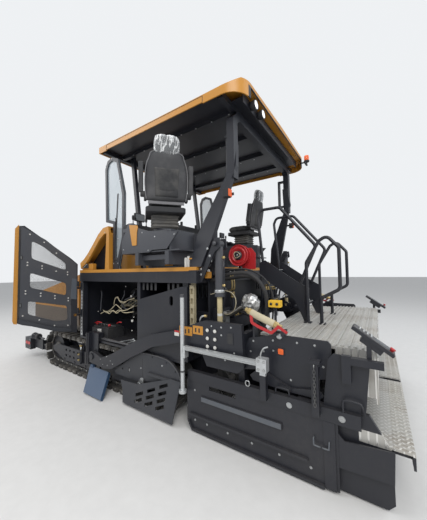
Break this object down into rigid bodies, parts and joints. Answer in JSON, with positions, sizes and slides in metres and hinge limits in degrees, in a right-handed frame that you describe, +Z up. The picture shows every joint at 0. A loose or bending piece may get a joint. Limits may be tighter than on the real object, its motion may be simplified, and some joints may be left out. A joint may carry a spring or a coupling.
{
  "type": "asphalt paver",
  "caption": "Tracked asphalt paver with folding hopper wings, canopy, swivelling operator seats and an extending screed on tow arms.",
  "frame": {"origin": "ground level under the middle of the machine", "axes": "+X forward to the hopper, +Y to the machine's left, +Z up"},
  "size_m": [6.27, 4.1198, 3.738],
  "materials": {
    "yellow_paint": "semi-gloss",
    "dark_paint": "semi-gloss, dusty",
    "grey_paint": "satin, dusty",
    "track_steel": "dusty",
    "worn_steel": "scratched",
    "cast_grey": "matte",
    "galvanised": "matte",
    "rod_chrome": "polished",
    "orange_lens": "translucent",
    "black_plastic": "matte",
    "seat_vinyl": "soft",
    "reel_red": "gloss",
    "hose_rubber": "matte",
    "clear_lens": "clear",
    "red_lens": "translucent"
  },
  "bodies": {
    "tractor": {"chassis": "dark_paint", "undercarriage": "dark_paint", "track_left": "track_steel", "track_right": "track_steel", "track_covers": "grey_paint", "hood": "yellow_paint", "platform": "dark_paint", "deck_edge": "yellow_paint", "engine_block": "cast_grey", "battery_box": "black_plastic", "conveyor": "worn_steel", "canopy_roof": "yellow_paint", "canopy_frame": "dark_paint", "windscreens": "dark_paint", "control_console": "black_plastic", "hydraulic_rack": "dark_paint", "front_frame": "dark_paint", "lamps": "orange_lens"},
    "reel": {"hose_reel": "reel_red"},
    "console_left": {"seat_console_left": "grey_paint"},
    "console_right": {"seat_console_right": "grey_paint"},
    "swivel_seat_left": {"seat_left": "seat_vinyl"},
    "swivel_seat_right": {"seat_right": "seat_vinyl"},
    "wing_left": {"hopper_wing_left": "yellow_paint"},
    "wing_right": {"hopper_wing_right": "yellow_paint"},
    "door_left": {"engine_door_left": "dark_paint"},
    "door_right": {"engine_door_right": "dark_paint"},
    "roller_beam": {"push_beam": "yellow_paint"},
    "roller_left": {"push_roller_left": "worn_steel"},
    "roller_right": {"push_roller_right": "worn_steel"},
    "spiral_left": {"auger_left": "cast_grey"},
    "spiral_right": {"auger_right": "cast_grey"},
    "screed": {"tow_arm_left": "dark_paint", "tow_arm_right": "dark_paint", "screed_frame": "dark_paint", "walkway": "galvanised", "stairs": "dark_paint"},
    "screed_extension_left": {"extension_left": "dark_paint", "end_gate_left": "dark_paint"},
    "screed_extension_right": {"extension_right": "dark_paint", "end_gate_right": "dark_paint"},
    "barrel_left": {"lift_barrel_left": "grey_paint"},
    "barrel_right": {"lift_barrel_right": "grey_paint"},
    "rod_left": {"lift_rod_left": "rod_chrome"},
    "rod_right": {"lift_rod_right": "rod_chrome"}
  },
  "joints": [
    {"name": "reel_turn", "type": "hinge", "parent": "tractor", "child": "reel", "pos_m": [-1.56, 0.75, 1.84], "axis": [0, 1, 0], "continuous": true},
    {"name": "console_left_slide", "type": "slide", "parent": "tractor", "child": "console_left", "axis": [0, 1, 0], "range_m": [-0.27, 0]},
    {"name": "console_right_slide", "type": "slide", "parent": "tractor", "child": "console_right", "axis": [0, -1, 0], "range_m": [0, 0.27]},
    {"name": "seat_left_turn", "type": "hinge", "parent": "console_left", "child": "swivel_seat_left", "pos_m": [-0.77, 1.22, 2.14], "axis": [0, 0, 1], "range_deg": [-20, 50]},
    {"name": "seat_right_turn", "type": "hinge", "parent": "console_right", "child": "swivel_seat_right", "pos_m": [-0.77, -0.95, 2.14], "axis": [0, 0, 1], "range_deg": [-50, 20]},
    {"name": "wing_left_fold", "type": "hinge", "parent": "tractor", "child": "wing_left", "pos_m": [1.19, 0.548, 0.505], "axis": [1, 0, 0], "range_deg": [0, 40]},
    {"name": "wing_right_fold", "type": "hinge", "parent": "tractor", "child": "wing_right", "pos_m": [1.19, -0.548, 0.505], "axis": [-1, 0, 0], "range_deg": [0, 40]},
    {"name": "door_left_swing", "type": "hinge", "parent": "tractor", "child": "door_left", "pos_m": [1.113, 1.306, 1.2], "axis": [0, 0, 1], "range_deg": [0, 103]},
    {"name": "door_right_swing", "type": "hinge", "parent": "tractor", "child": "door_right", "pos_m": [1.113, -1.306, 1.2], "axis": [0, 0, -1], "range_deg": [0, 103]},
    {"name": "roller_beam_swing", "type": "hinge", "parent": "tractor", "child": "roller_beam", "pos_m": [2.935, 0, 0.52], "axis": [0, 0, 1], "range_deg": [-3, 3]},
    {"name": "roller_left_turn", "type": "hinge", "parent": "roller_beam", "child": "roller_left", "pos_m": [3.085, 0.49, 0.52], "axis": [0, 1, 0], "continuous": true},
    {"name": "roller_right_turn", "type": "hinge", "parent": "roller_beam", "child": "roller_right", "pos_m": [3.085, -0.49, 0.52], "axis": [0, 1, 0], "continuous": true},
    {"name": "auger_left_turn", "type": "hinge", "parent": "tractor", "child": "spiral_left", "pos_m": [-1.33, 0.6, 0.27], "axis": [0, 1, 0], "continuous": true},
    {"name": "auger_right_turn", "type": "hinge", "parent": "tractor", "child": "spiral_right", "pos_m": [-1.33, -0.6, 0.27], "axis": [0, 1, 0], "continuous": true},
    {"name": "screed_lift", "type": "hinge", "parent": "tractor", "child": "screed", "pos_m": [0.62, 0, 0.42], "axis": [0, 1, 0], "range_deg": [0, 8]},
    {"name": "extension_left_slide", "type": "slide", "parent": "screed", "child": "screed_extension_left", "axis": [0, 1, 0], "range_m": [0, 1]},
    {"name": "extension_right_slide", "type": "slide", "parent": "screed", "child": "screed_extension_right", "axis": [0, -1, 0], "range_m": [0, 1]},
    {"name": "lift_barrel_left_swing", "type": "hinge", "parent": "tractor", "child": "barrel_left", "pos_m": [-1.52, 1.15, 1.95], "axis": [0, 1, 0], "range_deg": [-10, 1]},
    {"name": "lift_rod_left_slide", "type": "slide", "parent": "barrel_left", "child": "rod_left", "axis": [0, 0, 1], "range_m": [-0.01, 0.3]},
    {"name": "lift_barrel_right_swing", "type": "hinge", "parent": "tractor", "child": "barrel_right", "pos_m": [-1.52, -1.15, 1.95], "axis": [0, 1, 0], "range_deg": [-10, 1]},
    {"name": "lift_rod_right_slide", "type": "slide", "parent": "barrel_right", "child": "rod_right", "axis": [0, 0, 1], "range_m": [-0.01, 0.3]}
  ],
  "couplings": [
    {"joint": "lift_barrel_left_swing", "follows": "screed_lift", "ratio": -1.09},
    {"joint": "lift_rod_left_slide", "follows": "screed_lift", "m_per_rad": 2.03},
    {"joint": "lift_barrel_right_swing", "follows": "screed_lift", "ratio": -1.09},
    {"joint": "lift_rod_right_slide", "follows": "screed_lift", "m_per_rad": 2.03}
  ]
}
